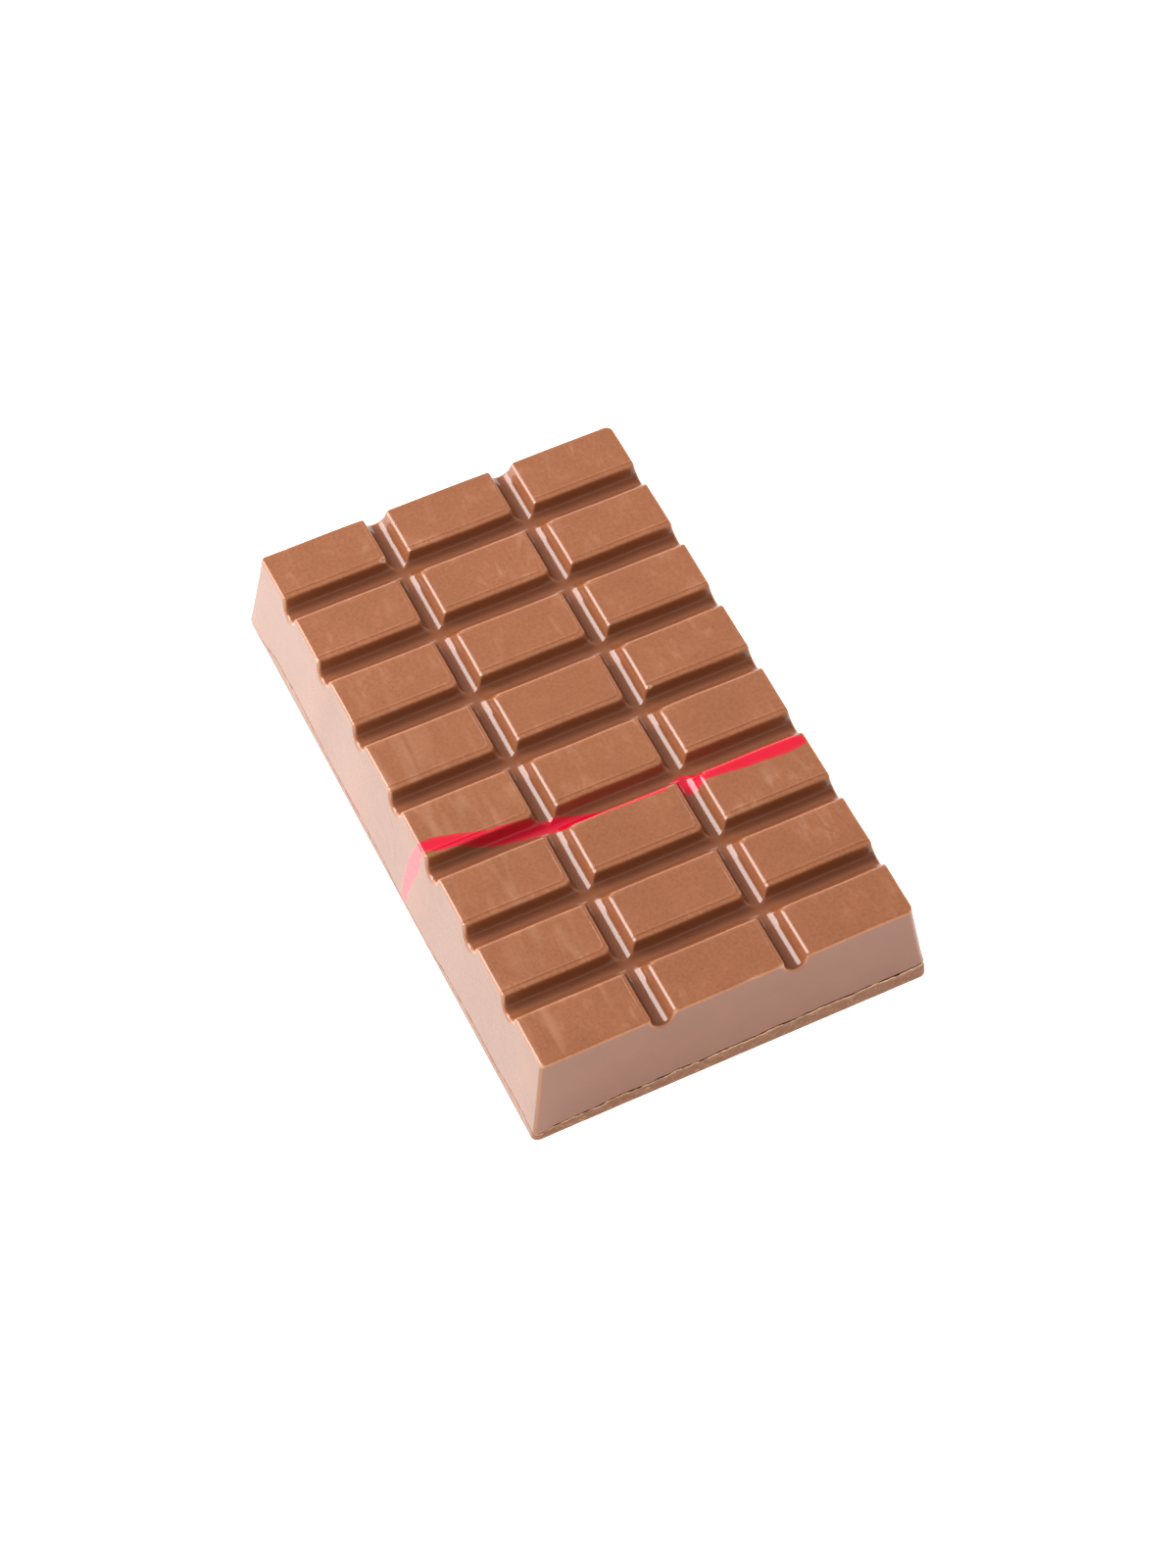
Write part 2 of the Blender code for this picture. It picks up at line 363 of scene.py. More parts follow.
# On the plain wall a ring's height is known. Its lowest rings follow the crack, which is half as wide along
# the left side.
rise = heights[np.minimum(ring, len(heights) - 1)]
foot = seam_height(x, y) + CRACK * (1 - 0.5 * np.clip(-x - HALF_WIDTH + 1, 0, 1))
foot_top = heights[len(foot_rise) + 2]
wall_z = np.where(
    ring <= len(foot_rise) + 1,
    foot + (foot_top - foot) * rise / foot_top,
    rise,
)
z = np.where(on_wall, wall_z, z)
lean = (wall_z - rise) / HEIGHT
radius = np.where(x < 0, LEFT_CORNER, RIGHT_CORNER)
to_side = np.clip((np.abs(x) - ring_across[ring]) / radius + 1, 0, 1)
to_end = np.clip((np.abs(y) - ring_along[ring]) / radius + 1, 0, 1)
x = np.where(on_wall, x - np.sign(x) * SIDE_DRAFT * lean * to_side, x)
y = np.where(on_wall, y - np.sign(y) * END_DRAFT * lean * to_end, y)

points = np.stack([x, y, z], -1).reshape(-1, 3)
number = np.arange(rows * columns).reshape(rows, columns)
a, b, c, d = (q.ravel() for q in (number[:-1, :-1], number[:-1, 1:], number[1:, 1:], number[1:, :-1]))
ridge = points[a, 2] + points[c, 2] > points[b, 2] + points[d, 2]
faces = np.concatenate([
    np.where(ridge[:, None], np.stack([a, b, c], -1), np.stack([a, b, d], -1)),
    np.where(ridge[:, None], np.stack([a, c, d], -1), np.stack([b, c, d], -1)),
])
# The underside is closed by a fan from its middle.
outline = np.concatenate([number[0, :-1], number[:-1, -1], number[-1, :0:-1], number[:0:-1, 0]])
middle_point = np.array([[0, 0, (SEAM_LEFT + SEAM_RIGHT) / 2 + CRACK]])
fan = np.stack([np.roll(outline, -1), outline, np.full(len(outline), len(points))], -1)
points = np.concatenate([points, middle_point])
moulded_bar = put_mesh("milk_chocolate_bar", points, np.concatenate([faces, fan]))

# Shading follows the slope of the distance itself, so that highlights run true along the grooves.
reach = 0.012 * np.eye(3)
slopes = [body_distance(*(points + step).T) - body_distance(*(points - step).T) for step in reach]
normals = np.stack(slopes, -1)
normals /= np.linalg.norm(normals, axis=1, keepdims=True)
moulded_bar.data.normals_split_custom_set_from_vertices(normals.astype(np.float32))


def linear(code):
    """An sRGB hex colour as linear red, green, blue and a full alpha."""
    parts = [int(code[k : k + 2], 16) / 255 for k in (1, 3, 5)]
    return tuple(p / 12.92 if p <= 0.04045 else ((p + 0.055) / 1.055) ** 2.4 for p in parts) + (1.0,)


def add(tree, kind, sockets=None, **settings):
    """One node of a kind, with its settings and its inputs, each given a value or linked to an output."""
    node = tree.nodes.new(kind)
    for name, value in settings.items():
        setattr(node, name, value)
    for name, value in (sockets or {}).items():
        if isinstance(value, bpy.types.NodeSocket):
            tree.links.new(value, node.inputs[name])
        else:
            node.inputs[name].default_value = value
    return node


# The red stroke: coloured cocoa butter brushed thinly into the mould before it was filled. Its two edges
# are given as distances along the bar, against the stroke's path, which runs from the foot of the left wall
# up it and across the top to the right edge. Where the brush missed, the chocolate shows.
STROKE_START = -43.0
STROKE_END = 28.0
STROKE_TIP = 27.6
STROKE_LOW = -17.0
STROKE_HIGH = -5.0
FAR_SIDE = [
    (-43, -5.1), (-37.9, -5.2), (-33.8, -5.6), (-31.6, -6.1), (-28.5, -7.3), (-25, -7.6), (-23, -8.1),
    (-20.5, -9.0), (-17.9, -9.75), (-16.4, -9.7), (-13.6, -10.15), (-8.7, -10.85), (-5.5, -11.6),
    (-1.5, -13.0), (6.5, -13.1), (9.3, -12.0), (10.1, -11.8), (10.7, -12.4), (12, -13.0), (16, -13.2),
    (26, -13.9), (28, -14.7),
]
NEAR_SIDE = [
    (-43, -6.5), (-38.8, -7.35), (-34.6, -8.35), (-32.6, -8.9), (-27.8, -9.2), (-25.3, -10.0),
    (-21.3, -10.6), (-17.3, -11.6), (-11.9, -12.6), (-10.5, -12.75), (-7.5, -13.8), (-5, -14.2),
    (0, -14.4), (6.5, -14.7),
    (7.3, -13.6), (8.6, -13.6), (8.9, -15.1), (9.5, -15.7), (12.1, -15.4), (18.1, -16.0), (24, -16.4),
    (26.8, -16.2), (28, -15.6),
]


def edge_curve(tree, path, corners):
    """Distance along the bar of one edge of the stroke, in metres: straight lines between its corners, read
    from a curve by the share of the path."""
    curve = add(tree, "ShaderNodeFloatCurve", {"Value": path})
    knots = curve.mapping.curves[0].points
    spots = [
        ((u - STROKE_START) / (STROKE_END - STROKE_START), (v - STROKE_LOW) / (STROKE_HIGH - STROKE_LOW))
        for u, v in corners
    ]
    knots[0].location = spots[0]
    knots[-1].location = spots[-1]
    for spot in spots[1:-1]:
        knots.new(*spot)
    for knot in knots:
        knot.handle_type = "VECTOR"
    curve.mapping.update()
    return add(
        tree,
        "ShaderNodeMapRange",
        {"Value": curve.outputs["Value"], "To Min": STROKE_LOW * MM, "To Max": STROKE_HIGH * MM},
        clamp=False,
    ).outputs["Result"]


def stroke_cover(tree, place):
    """How thickly the stroke covers a place, from 0 to 1: the least of its distances inside the two edges
    and the tip, made uneven by the bristles' streaks, over a tenth of a millimetre."""
    parts = add(tree, "ShaderNodeSeparateXYZ", {"Vector": place}).outputs
    # On the left wall the path's length counts down the slope, not across it in plan.
    past = add(tree, "ShaderNodeMath", {0: parts["X"], 1: (HALF_WIDTH - SIDE_DRAFT) * MM}, operation="ADD")
    past = add(tree, "ShaderNodeMath", {0: past.outputs["Value"], 1: 0.0}, operation="MINIMUM")
    path = add(
        tree,
        "ShaderNodeMath",
        {0: past.outputs["Value"], 1: HEIGHT / SIDE_DRAFT - 1, 2: parts["X"]},
        operation="MULTIPLY_ADD",
    ).outputs["Value"]
    share = add(
        tree,
        "ShaderNodeMapRange",
        {"Value": path, "From Min": STROKE_START * MM, "From Max": STROKE_END * MM},
    ).outputs["Result"]
    far = edge_curve(tree, share, FAR_SIDE)
    near = edge_curve(tree, share, NEAR_SIDE)
    to_far = add(tree, "ShaderNodeMath", {0: far, 1: parts["Y"]}, operation="SUBTRACT").outputs["Value"]
    to_near = add(tree, "ShaderNodeMath", {0: parts["Y"], 1: near}, operation="SUBTRACT").outputs["Value"]
    to_tip = add(tree, "ShaderNodeMath", {0: STROKE_TIP * MM, 1: path}, operation="SUBTRACT")
    to_tip = to_tip.outputs["Value"]
    inside = add(tree, "ShaderNodeMath", {0: to_far, 1: to_near}, operation="MINIMUM").outputs["Value"]
    inside = add(tree, "ShaderNodeMath", {0: inside, 1: to_tip}, operation="MINIMUM").outputs["Value"]
    # Bristle marks, drawn out along the stroke. Real bristles are a few tenths of a millimetre apart; these
    # are twice as coarse, so that they show.
    along = add(tree, "ShaderNodeMapping", {"Vector": place, "Scale": (0.2, 1.0, 0.6)}).outputs["Vector"]
    streaks = add(tree, "ShaderNodeTexNoise", {"Vector": along, "Scale": 1 / 0.0007, "Detail": 3.0})
    uneven = add(
        tree,
        "ShaderNodeMapRange",
        {"Value": streaks.outputs["Fac"], "To Min": -0.00022, "To Max": 0.0002},
    ).outputs["Result"]
    depth = add(tree, "ShaderNodeMath", {0: inside, 1: uneven}, operation="ADD").outputs["Value"]
    solid = add(
        tree, "ShaderNodeMapRange", {"Value": depth, "From Min": -0.00003, "From Max": 0.00009}
    ).outputs["Result"]
    thick = add(
        tree,
        "ShaderNodeMapRange",
        {"Value": depth, "From Min": 0.0, "From Max": 0.0006, "To Min": 0.75, "To Max": 1.0},
    ).outputs["Result"]
    return add(tree, "ShaderNodeMath", {0: solid, 1: thick}, operation="MULTIPLY").outputs["Value"]


# The chocolate in the grooves and on the long walls, darker as painted shade, on the tops, lighter as
# painted light, the painted glow where light would pass through an edge, the beige where bloom or a bruise
# makes it pale; and the red cocoa butter.
GROOVE_SHADE_BROWN = "#824C2F"
TOP_LIT_BROWN = "#8D5637"
WALL_SHADE_BROWN = "#6D422D"
PAINTED_GLOW_ORANGE = "#D98B5A"
BLOOM_BEIGE = "#CFA688"
STROKE_RED = "#C40428"


def glossy_milk_chocolate():
    """Tempered milk chocolate, moulded against polished plastic: clean and glossy in the grooves and down
    the walls. Handling has dulled the tops, where fine bloom and scuffs show as paler mottling."""
    material = bpy.data.materials.new("moulded_milk_chocolate_polished")
    material.use_nodes = True
    tree = material.node_tree
    tree.nodes.clear()
    place = add(tree, "ShaderNodeTexCoord").outputs["Object"]
    parts = add(tree, "ShaderNodeSeparateXYZ", {"Vector": place}).outputs
    high_up = add(
        tree,
        "ShaderNodeMapRange",
        {"Value": parts["Z"], "From Min": (HEIGHT - 0.7) * MM, "From Max": (HEIGHT - 0.15) * MM},
    ).outputs["Result"]
    # Painted shade and light: lower down, in the grooves, the brown is darker, and up on the tops it is
    # lighter.
    colour = add(
        tree,
        "ShaderNodeMix",
        {"Factor": high_up, "A": linear(GROOVE_SHADE_BROWN), "B": linear(TOP_LIT_BROWN)},
        data_type="RGBA",
    ).outputs[2]
    # The long side walls are a deeper brown, painted shade that takes down the key light on them, and a
    # painted glow, standing in for light that passes through an edge, makes it paler and more orange.
    aside = add(tree, "ShaderNodeAttribute", attribute_name="side_wall").outputs["Fac"]
    colour = add(
        tree, "ShaderNodeMix", {"Factor": aside, "A": colour, "B": linear(WALL_SHADE_BROWN)}, data_type="RGBA"
    ).outputs[2]
    glow = add(tree, "ShaderNodeAttribute", attribute_name="painted_edge_glow").outputs["Fac"]
    colour = add(
        tree, "ShaderNodeMix", {"Factor": glow, "A": colour, "B": linear(PAINTED_GLOW_ORANGE)}, data_type="RGBA"
    ).outputs[2]

    # Cocoa butter crystals mottle the tops at a tenth of a millimetre. They are drawn at half a millimetre,
    # the finest that shows, over clouds of several millimetres from the mould's uneven cooling.
    fine = add(
        tree, "ShaderNodeTexNoise", {"Vector": place, "Scale": 1 / 0.0005, "Detail": 3.0, "Roughness": 0.6}
    )
    broad = add(
        tree, "ShaderNodeTexNoise", {"Vector": place, "Scale": 1 / 0.007, "Detail": 3.0, "Distortion": 0.6}
    )
    mottle = add(
        tree,
        "ShaderNodeMapRange",
        {"Value": fine.outputs["Fac"], "From Min": 0.3, "From Max": 0.7, "To Min": -0.11, "To Max": 0.11},
    ).outputs["Result"]
    cloud = add(
        tree,
        "ShaderNodeMapRange",
        {
            "Value": broad.outputs["Fac"],
            "From Min": 0.3,
            "From Max": 0.7,
            "To Min": -0.045,
            "To Max": 0.045,
        },
    ).outputs["Result"]
    tone = add(tree, "ShaderNodeMath", {0: mottle, 1: high_up, 2: cloud}, operation="MULTIPLY_ADD")
    tone = tone.outputs["Value"]
    # Painted light: the whole surface is a little darker towards the front of the bar, further from the key
    # light.
    along = add(
        tree,
        "ShaderNodeMapRange",
        {"Value": parts["Y"], "From Min": -0.04, "From Max": 0.03, "To Min": 0.97, "To Max": 1.02},
    ).outputs["Result"]
    light = add(tree, "ShaderNodeMath", {0: tone, 1: along}, operation="ADD").outputs["Value"]
    # Faint tide marks where the chocolate ran down the side walls of the mould.
    tides = add(
        tree, "ShaderNodeTexNoise", {"Vector": place, "Scale": 1 / 0.009, "Detail": 2.0, "Distortion": 2.0}
    )
    tide = add(
        tree,
        "ShaderNodeMapRange",
        {"Value": tides.outputs["Fac"], "From Min": 0.4, "From Max": 0.6, "To Min": -0.03, "To Max": 0.03},
    ).outputs["Result"]
    light = add(tree, "ShaderNodeMath", {0: tide, 1: aside, 2: light}, operation="MULTIPLY_ADD")
    light = light.outputs["Value"]
    toned = add(tree, "ShaderNodeVectorMath", {0: colour, "Scale": light}, operation="SCALE")
    toned = toned.outputs["Vector"]

    # Scuffs from other bars in the box: pale, broken, a millimetre or two wide and drawn out along the bar.
    drawn = add(tree, "ShaderNodeMapping", {"Vector": place, "Scale": (1.0, 0.4, 1.0)}).outputs["Vector"]
    scuff = add(
        tree, "ShaderNodeTexNoise", {"Vector": drawn, "Scale": 1 / 0.0016, "Detail": 5.0, "Distortion": 0.8}
    )
    where = add(
        tree,
        "ShaderNodeMapRange",
        {"Value": broad.outputs["Fac"], "From Min": 0.45, "From Max": 0.7},
    ).outputs["Result"]
    scuffed = add(
        tree,
        "ShaderNodeMapRange",
        {"Value": scuff.outputs["Fac"], "From Min": 0.5, "From Max": 0.75, "To Min": 0.0, "To Max": 0.22},
    ).outputs["Result"]
    haze = add(tree, "ShaderNodeMath", {0: scuffed, 1: where}, operation="MULTIPLY").outputs["Value"]
    # Fingers drew long pale smears over the left column's nearer segments, a little askew to the bar.
    swept = add(
        tree,
        "ShaderNodeMapping",
        {"Vector": place, "Rotation": (0.0, 0.0, math.radians(14)), "Scale": (1.0, 0.2, 0.0)},
    ).outputs["Vector"]
    smears = add(
        tree, "ShaderNodeTexNoise", {"Vector": swept, "Scale": 1 / 0.0024, "Detail": 2.0, "Distortion": 0.6}
    )
    smear = add(
        tree,
        "ShaderNodeMapRange",
        {"Value": smears.outputs["Fac"], "From Min": 0.5, "From Max": 0.76, "To Min": 0.0, "To Max": 0.16},
    ).outputs["Result"]
    to_left = add(
        tree,
        "ShaderNodeMapRange",
        {"Value": parts["X"], "From Min": -0.0125, "From Max": -0.016},
    ).outputs["Result"]
    nearer = add(
        tree, "ShaderNodeMapRange", {"Value": parts["Y"], "From Min": 0.026, "From Max": 0.005}
    ).outputs["Result"]
    smear = add(tree, "ShaderNodeMath", {0: smear, 1: to_left}, operation="MULTIPLY").outputs["Value"]
    smear = add(tree, "ShaderNodeMath", {0: smear, 1: nearer}, operation="MULTIPLY").outputs["Value"]
    haze = add(tree, "ShaderNodeMath", {0: haze, 1: smear}, operation="MAXIMUM").outputs["Value"]
    haze = add(tree, "ShaderNodeMath", {0: haze, 1: high_up}, operation="MULTIPLY").outputs["Value"]
    bruise = add(tree, "ShaderNodeAttribute", attribute_name="bruised").outputs["Fac"]
    pale = add(tree, "ShaderNodeMath", {0: haze, 1: bruise}, operation="MAXIMUM").outputs["Value"]
    hazy = add(
        tree,
        "ShaderNodeMix",
        {"Factor": pale, "A": toned, "B": linear(BLOOM_BEIGE)},
        data_type="RGBA",
    ).outputs[2]

    red = stroke_cover(tree, place)
    painted = add(
        tree, "ShaderNodeMix", {"Factor": red, "A": hazy, "B": linear(STROKE_RED)}, data_type="RGBA"
    ).outputs[2]

    # A satin gloss, duller on the handled tops, in their mottling and along the edges.
    dull = add(tree, "ShaderNodeMapRange", {"Value": high_up, "To Min": 0.17, "To Max": 0.22})
    dull = add(
        tree, "ShaderNodeMath", {0: tone, 1: 0.25, 2: dull.outputs["Result"]}, operation="MULTIPLY_ADD"
    )
    dull = add(
        tree, "ShaderNodeMath", {0: glow, 1: 0.35, 2: dull.outputs["Value"]}, operation="MULTIPLY_ADD"
    )
    # Ripples of the mould's polish, several millimetres long and so shallow that only reflections show
    # them, and the tops' mottling, which is felt as well as seen.
    ripple = add(
        tree, "ShaderNodeTexNoise", {"Vector": place, "Scale": 1 / 0.005, "Detail": 2.0, "Distortion": 1.5}
    )
    grain = add(tree, "ShaderNodeMath", {0: fine.outputs["Fac"], 1: high_up}, operation="MULTIPLY")
    grain = grain.outputs["Value"]
    level = add(
        tree, "ShaderNodeMath", {0: grain, 1: 0.2, 2: ripple.outputs["Fac"]}, operation="MULTIPLY_ADD"
    )
    bump = add(
        tree, "ShaderNodeBump", {"Height": level.outputs["Value"], "Distance": 0.00002, "Strength": 1.0}
    )
    shader = add(
        tree,
        "ShaderNodeBsdfPrincipled",
        {
            "Base Color": painted,
            "Roughness": dull.outputs["Value"],
            "IOR": 1.5,
            "Normal": bump.outputs["Normal"],
        },
    )
    add(tree, "ShaderNodeOutputMaterial", {"Surface": shader.outputs["BSDF"]})
    return material


# What the material reads at each point: how bruised it is; whether it is on a long side wall, which takes
# the painted shade brown; and how strong the painted glow is there, an orange base colour that stands in for
# light coming through the chocolate, most along edges that face away from the key light, less along the
# other rims and least up the corners.
KEY_DIRECTION = (-0.61, 0.475, 0.645)
PAINTED_GLOW_REACH = 0.28
bruised = np.zeros(len(points))
for centre_x, centre_y, centre_z, radius in BRUISES:
    away = np.linalg.norm(points - (centre_x, centre_y, centre_z), axis=1)
    bruised = np.maximum(bruised, np.clip(1.6 - away / radius, 0, 1))
wall, long_groove, cross_groove = part_distances(*points.T)[:3]
from_corner = np.abs(points[:, 0]) - HALF_WIDTH - np.abs(points[:, 1]) + HALF_LENGTH
side_wall = np.clip(1 + wall / 0.15, 0, 1) * np.clip(0.5 + from_corner / 0.4, 0, 1)
# At an edge, two of the distances from the body's surfaces are nearly nought.
second = np.sort(np.stack([points[:, 2] - HEIGHT, wall, long_groove, cross_groove]), 0)[-2]
# Painted light: the glow is weighted by how far each point faces away from the key light.
shaded = np.clip(1.1 - normals @ KEY_DIRECTION / 0.6, 0, 1)
upright = 0.22 * np.exp(-(((from_corner + 0.4 * points[:, 2] / HEIGHT) / 0.4) ** 2)) * (wall > -0.1)
outer = 0.35 + 0.65 * np.exp(-((wall / 0.3) ** 2))
shaded = np.maximum(shaded, 0.6 * outer - 0.21)
painted_glow = np.maximum(outer * np.exp(-((second / PAINTED_GLOW_REACH) ** 2)), upright) * shaded
for label, values in (("bruised", bruised), ("side_wall", side_wall), ("painted_edge_glow", painted_glow)):
    shade = moulded_bar.data.attributes.new(label, "FLOAT", "POINT")
    shade.data.foreach_set("value", values.astype(np.float32))

moulded_bar.data.materials.append(glossy_milk_chocolate())
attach(moulded_bar, "root")
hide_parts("moulded_bar")


# ---------------------------------------------------------------------------------------------------------
# The backing. The last chocolate poured into the mould, scraped level before it set: it parted from the bar
# along an uneven crack, its side is rough and speckled, and the thin edge of its top is pale.

BACKING_RADIUS = 1.2
ROUGHNESS_DEPTH = 0.045
ARC_POINTS = 20
OUTLINE_POINTS = 1100

# The rounded outline at even steps, with the direction outwards.
quarters = np.linspace(0, math.pi / 2, ARC_POINTS)
facing = np.concatenate([quarters + q * math.pi / 2 for q in range(5)])
corner_x = (HALF_WIDTH - BACKING_RADIUS) * np.repeat([1, -1, -1, 1, 1], ARC_POINTS)
corner_y = (HALF_LENGTH - BACKING_RADIUS) * np.repeat([1, 1, -1, -1, 1], ARC_POINTS)
path_x = corner_x + BACKING_RADIUS * np.cos(facing)
path_y = corner_y + BACKING_RADIUS * np.sin(facing)
walked = np.concatenate([[0], np.cumsum(np.hypot(np.diff(path_x), np.diff(path_y)))])
once = walked[4 * ARC_POINTS]
even = np.linspace(0, once, OUTLINE_POINTS, endpoint=False)
turn = np.interp(even, walked, facing)
edge_x = np.interp(even, walked, path_x)
edge_y = np.interp(even, walked, path_y)

# Rings from the underside up the side and over the thin edge onto the top: shares of the height, insets,
# how much of the roughness each takes, and how pale it is.
shares = np.array([0.0, 0.02, 0.08, 0.18, 0.3, 0.42, 0.54, 0.66, 0.78, 0.88, 0.95, 1.0, 0.94, 0.9, 0.88])
insets = np.array([0.4, 0.16, 0.07, 0.05, 0.05, 0.06, 0.07, 0.09, 0.11, 0.11, 0.03, 0.05, 0.14, 0.5, 1.5])
roughness = np.array([0.15, 0.15, 0.2, 0.5, 0.8, 1, 1, 1, 1, 1, 1, 1, 1, 1, 1])
pale_edge = np.array([0, 0, 0, 0, 0, 0, 0, 0, 0, 0.4, 1, 1, 0.7, 0.5, 0])
seam = seam_height(edge_x, edge_y)
z = shares[:, None] * seam
# Along the left side the crack behind the thin edge is shallow.
behind_edge = int(shares.argmax()) + 1
z[behind_edge:] = z[behind_edge:] + 0.06 * seam * np.clip((-edge_x - HALF_WIDTH + 0.9) / 0.6, 0, 1)
rough = waves(edge_x + z, edge_y - z, 2.4, 21) + 0.7 * waves(edge_x - 2 * z, edge_y + 2 * z, 0.9, 22, 14)
smooth_side = np.clip((edge_x + HALF_WIDTH - 0.3) / 0.6, 0.1, 1)
inward = insets[:, None] + ROUGHNESS_DEPTH * roughness[:, None] * (rough + 0.4)
inward = np.maximum(inward, 0) * np.where(shares[:, None] < 0.9, smooth_side, 1)
# The side carries on the wall's lean, and stands a little proud of it.
inward = inward + 0.85 * z / HEIGHT * np.where(np.abs(np.cos(turn)) > 0.7, SIDE_DRAFT, END_DRAFT)
x = edge_x - np.cos(turn) * inward
y = edge_y - np.sin(turn) * inward
points = np.stack([x, y, z], -1).reshape(-1, 3)
number = np.arange(z.size).reshape(z.shape)
a, b = number[:-1], number[1:]
c, d = np.roll(b, -1, 1), np.roll(a, -1, 1)
halves = [np.stack([q.ravel() for q in half], -1) for half in ((a, d, c), (a, c, b))]
under = np.stack([np.roll(number[0], -1), number[0], np.full(len(even), z.size)], -1)
over = np.stack([number[-1], np.roll(number[-1], -1), np.full(len(even), z.size + 1)], -1)
# A fan closes the underside and another the top, each round a middle point.
middles = np.array([[0, 0, 0], [0, 0, 0.75 * (SEAM_LEFT + SEAM_RIGHT) / 2]])
faces = np.concatenate([*halves, under, over])
backing = put_mesh("backing_chocolate", np.concatenate([points, middles]), faces)
shade = backing.data.attributes.new("pale_edge", "FLOAT", "POINT")
pale_points = np.concatenate([np.repeat(pale_edge, len(even)), [0, 0]])
shade.data.foreach_set("value", pale_points.astype(np.float32))

# The two browns of its lumps, and its crumbs.
LUMP_BROWN = "#7A4A2D"
LUMP_TAN = "#905D3C"
CRUMB_BEIGE = "#E3B68C"


def rough_milk_chocolate():
    """The same chocolate, poured last and set in the open: dull, lumpy and dusted with pale crumbs. Lumps
    are a millimetre or two; crumbs are a tenth or two of one, drawn at nearly half so that they show."""
    material = bpy.data.materials.new("poured_milk_chocolate_scraped")
    material.use_nodes = True
    tree = material.node_tree
    tree.nodes.clear()
    place = add(tree, "ShaderNodeTexCoord").outputs["Object"]
    lumps = add(
        tree, "ShaderNodeTexNoise", {"Vector": place, "Scale": 1 / 0.0016, "Detail": 4.0, "Roughness": 0.6}
    )
    colour = add(
        tree,
        "ShaderNodeMix",
        {"Factor": lumps.outputs["Fac"], "A": linear(LUMP_BROWN), "B": linear(LUMP_TAN)},
        data_type="RGBA",
    ).outputs[2]
    crumbs = add(tree, "ShaderNodeTexNoise", {"Vector": place, "Scale": 1 / 0.00045, "Detail": 1.0})
    crumb = add(
        tree, "ShaderNodeMapRange", {"Value": crumbs.outputs["Fac"], "From Min": 0.63, "From Max": 0.75}
    ).outputs["Result"]
    edge = add(tree, "ShaderNodeAttribute", attribute_name="pale_edge").outputs["Fac"]
    patchy = add(
        tree, "ShaderNodeMapRange", {"Value": lumps.outputs["Fac"], "From Min": 0.34, "From Max": 0.52}
    ).outputs["Result"]
    broken = add(tree, "ShaderNodeMath", {0: edge, 1: patchy}, operation="MULTIPLY").outputs["Value"]
    crumb = add(tree, "ShaderNodeMath", {0: crumb, 1: patchy}, operation="MULTIPLY").outputs["Value"]
    pale = add(tree, "ShaderNodeMath", {0: crumb, 1: 0.5}, operation="MULTIPLY").outputs["Value"]
    pale = add(tree, "ShaderNodeMath", {0: broken, 1: pale}, operation="MAXIMUM").outputs["Value"]
    # Along the left side it set against the mould as well, so there it is as smooth as the wall and takes
    # the wall's painted shade brown.
    parts = add(tree, "ShaderNodeSeparateXYZ", {"Vector": place}).outputs
    moulded = add(
        tree,
        "ShaderNodeMapRange",
        {"Value": parts["X"], "From Min": (0.5 - HALF_WIDTH) * MM, "From Max": (0.3 - HALF_WIDTH) * MM},
    ).outputs["Result"]
    colour = add(
        tree, "ShaderNodeMix", {"Factor": moulded, "A": colour, "B": linear(WALL_SHADE_BROWN)}, data_type="RGBA"
    ).outputs[2]
    open_set = add(tree, "ShaderNodeMapRange", {"Value": moulded, "To Min": 0.85, "To Max": 0.1})
    share = add(tree, "ShaderNodeMath", {0: pale, 1: open_set.outputs["Result"]}, operation="MULTIPLY")
    dusted = add(
        tree,
        "ShaderNodeMix",
        {"Factor": share.outputs["Value"], "A": colour, "B": linear(CRUMB_BEIGE)},
        data_type="RGBA",
    ).outputs[2]
    dull = add(tree, "ShaderNodeMapRange", {"Value": moulded, "To Min": 0.4, "To Max": 0.17})
    bump = add(
        tree, "ShaderNodeBump", {"Height": crumbs.outputs["Fac"], "Distance": 0.00005, "Strength": 0.6}
    )
    shader = add(
        tree,
        "ShaderNodeBsdfPrincipled",
        {
            "Base Color": dusted,
            "Roughness": dull.outputs["Result"],
            "IOR": 1.5,
            "Specular IOR Level": 0.3,
            "Normal": bump.outputs["Normal"],
        },
    )
    add(tree, "ShaderNodeOutputMaterial", {"Surface": shader.outputs["BSDF"]})
    return material


backing.data.materials.append(rough_milk_chocolate())
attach(backing, "root")
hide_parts("base_layer")


# ---------------------------------------------------------------------------------------------------------
# The studio. A white sweep lit from below as well, one broad soft box behind the bar and to its left, and a
# dim surround, seen by a long lens from the front left and well above.

# The line of sight's turn from straight along the bar, its fall and its roll, and the camera's place in
# metres.
AZIMUTH = math.radians(-25.30)
ELEVATION = math.radians(55.91)
ROLL = math.radians(-0.64)
CAMERA_PLACE = (-0.13376, -0.28620, 0.46867)

camera = bpy.data.objects.new("camera", bpy.data.cameras.new("camera"))
camera.data.lens = 91.59
camera.data.sensor_width = 36.0
camera.data.clip_start = 0.01
camera.matrix_world = (
    Matrix.Translation(CAMERA_PLACE)
    @ Matrix.Rotation(AZIMUTH, 4, "Z")
    @ Matrix.Rotation(math.pi / 2 - ELEVATION, 4, "X")
    @ Matrix.Rotation(ROLL, 4, "Z")
)
bpy.context.scene.collection.objects.link(camera)
bpy.context.scene.camera = camera

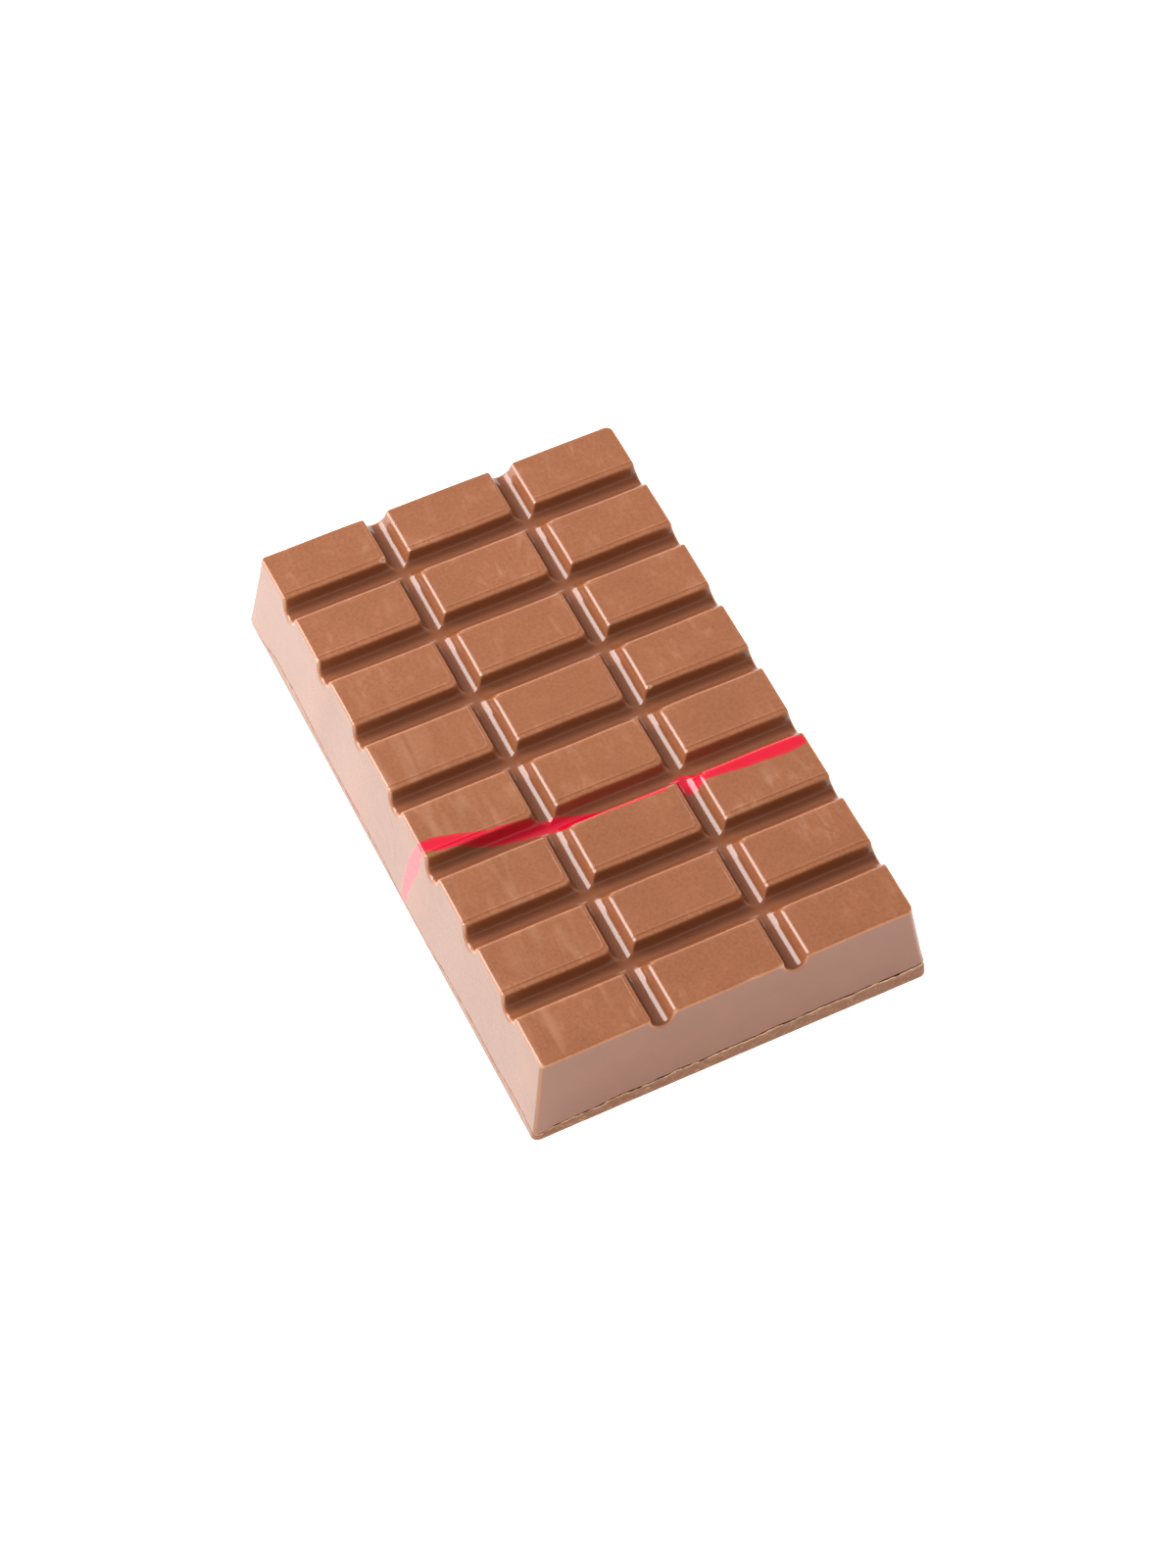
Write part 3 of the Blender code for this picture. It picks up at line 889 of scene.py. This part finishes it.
# The sweep reaches this far each way, and lies a hair below the underside so that the two never mix.
FLOOR_REACH = 6.0
FLOOR_DROP = 0.0002
floor_mesh = bpy.data.meshes.new("sweep")
corners = [(-1, -1), (1, -1), (1, 1), (-1, 1)]
places = [(FLOOR_REACH * u, FLOOR_REACH * v, -FLOOR_DROP) for u, v in corners]
floor_mesh.from_pydata(places, [], [(0, 1, 2, 3)])
floor = bpy.data.objects.new("sweep", floor_mesh)
bpy.context.scene.collection.objects.link(floor)
paper = bpy.data.materials.new("white_opal_acrylic_sheet")
paper.use_nodes = True
paper.node_tree.nodes.clear()
sheet = add(
    paper.node_tree,
    "ShaderNodeBsdfPrincipled",
    {
        "Base Color": linear("#D0CFCA"),
        "Roughness": 0.9,
        "Emission Color": (1.0, 0.985, 0.95, 1.0),
        "Emission Strength": 1.32,
    },
)
add(paper.node_tree, "ShaderNodeOutputMaterial", {"Surface": sheet.outputs["BSDF"]})
floor.data.materials.append(paper)


def soft_box(name, direction, distance, width, depth, radiance):
    """A rectangular area light that faces the bar from a direction. Its power is its radiance times its
    area times pi."""
    light = bpy.data.lights.new(name, "AREA")
    light.shape = "RECTANGLE"
    light.size = width
    light.size_y = depth
    light.energy = radiance * width * depth * math.pi
    lamp = bpy.data.objects.new(name, light)
    way = np.array(direction, float)
    way /= np.linalg.norm(way)
    lamp.location = way * distance
    lamp.rotation_euler = lamp.location.to_track_quat("Z", "Y").to_euler()
    bpy.context.scene.collection.objects.link(lamp)


soft_box("key_soft_box", KEY_DIRECTION, 1.2, 0.76, 1.08, 10.5)

# The surround is dim overhead and brighter low down: a pale room in front of the bar, and a bright backdrop
# behind it and to its left, which the left wall and the long grooves mirror.
world = bpy.data.worlds.new("studio")
world.use_nodes = True
world.node_tree.nodes.clear()
sky = world.node_tree
way = add(sky, "ShaderNodeSeparateXYZ", {"Vector": add(sky, "ShaderNodeTexCoord").outputs["Generated"]})
overhead = add(
    sky,
    "ShaderNodeMapRange",
    {"Value": way.outputs["Y"], "From Min": -0.2, "From Max": 0.7, "To Min": 0.15, "To Max": 0.65},
    interpolation_type="SMOOTHSTEP",
)
behind = add(
    sky, "ShaderNodeMapRange", {"Value": way.outputs["Y"], "From Min": -0.2, "From Max": 0.5}
).outputs["Result"]
edge = add(sky, "ShaderNodeMapRange", {"Value": behind, "To Min": 0.64, "To Max": 0.3}).outputs["Result"]
below = add(sky, "ShaderNodeMath", {0: edge, 1: way.outputs["Z"]}, operation="SUBTRACT").outputs["Value"]
low_down = add(
    sky,
    "ShaderNodeMapRange",
    {"Value": below, "From Min": -0.08, "From Max": 0.02},
    interpolation_type="SMOOTHSTEP",
).outputs["Result"]
walls = add(sky, "ShaderNodeMapRange", {"Value": behind, "To Min": 0.62, "To Max": 2.6}).outputs["Result"]
glow = add(
    sky, "ShaderNodeMath", {0: low_down, 1: walls, 2: overhead.outputs["Result"]}, operation="MULTIPLY_ADD"
)
surround = add(
    sky, "ShaderNodeBackground", {"Color": (1.0, 1.0, 1.0, 1.0), "Strength": glow.outputs["Value"]}
)
add(sky, "ShaderNodeOutputWorld", {"Surface": surround.outputs["Background"]})
bpy.context.scene.world = world
bpy.context.scene.view_settings.view_transform = "Standard"
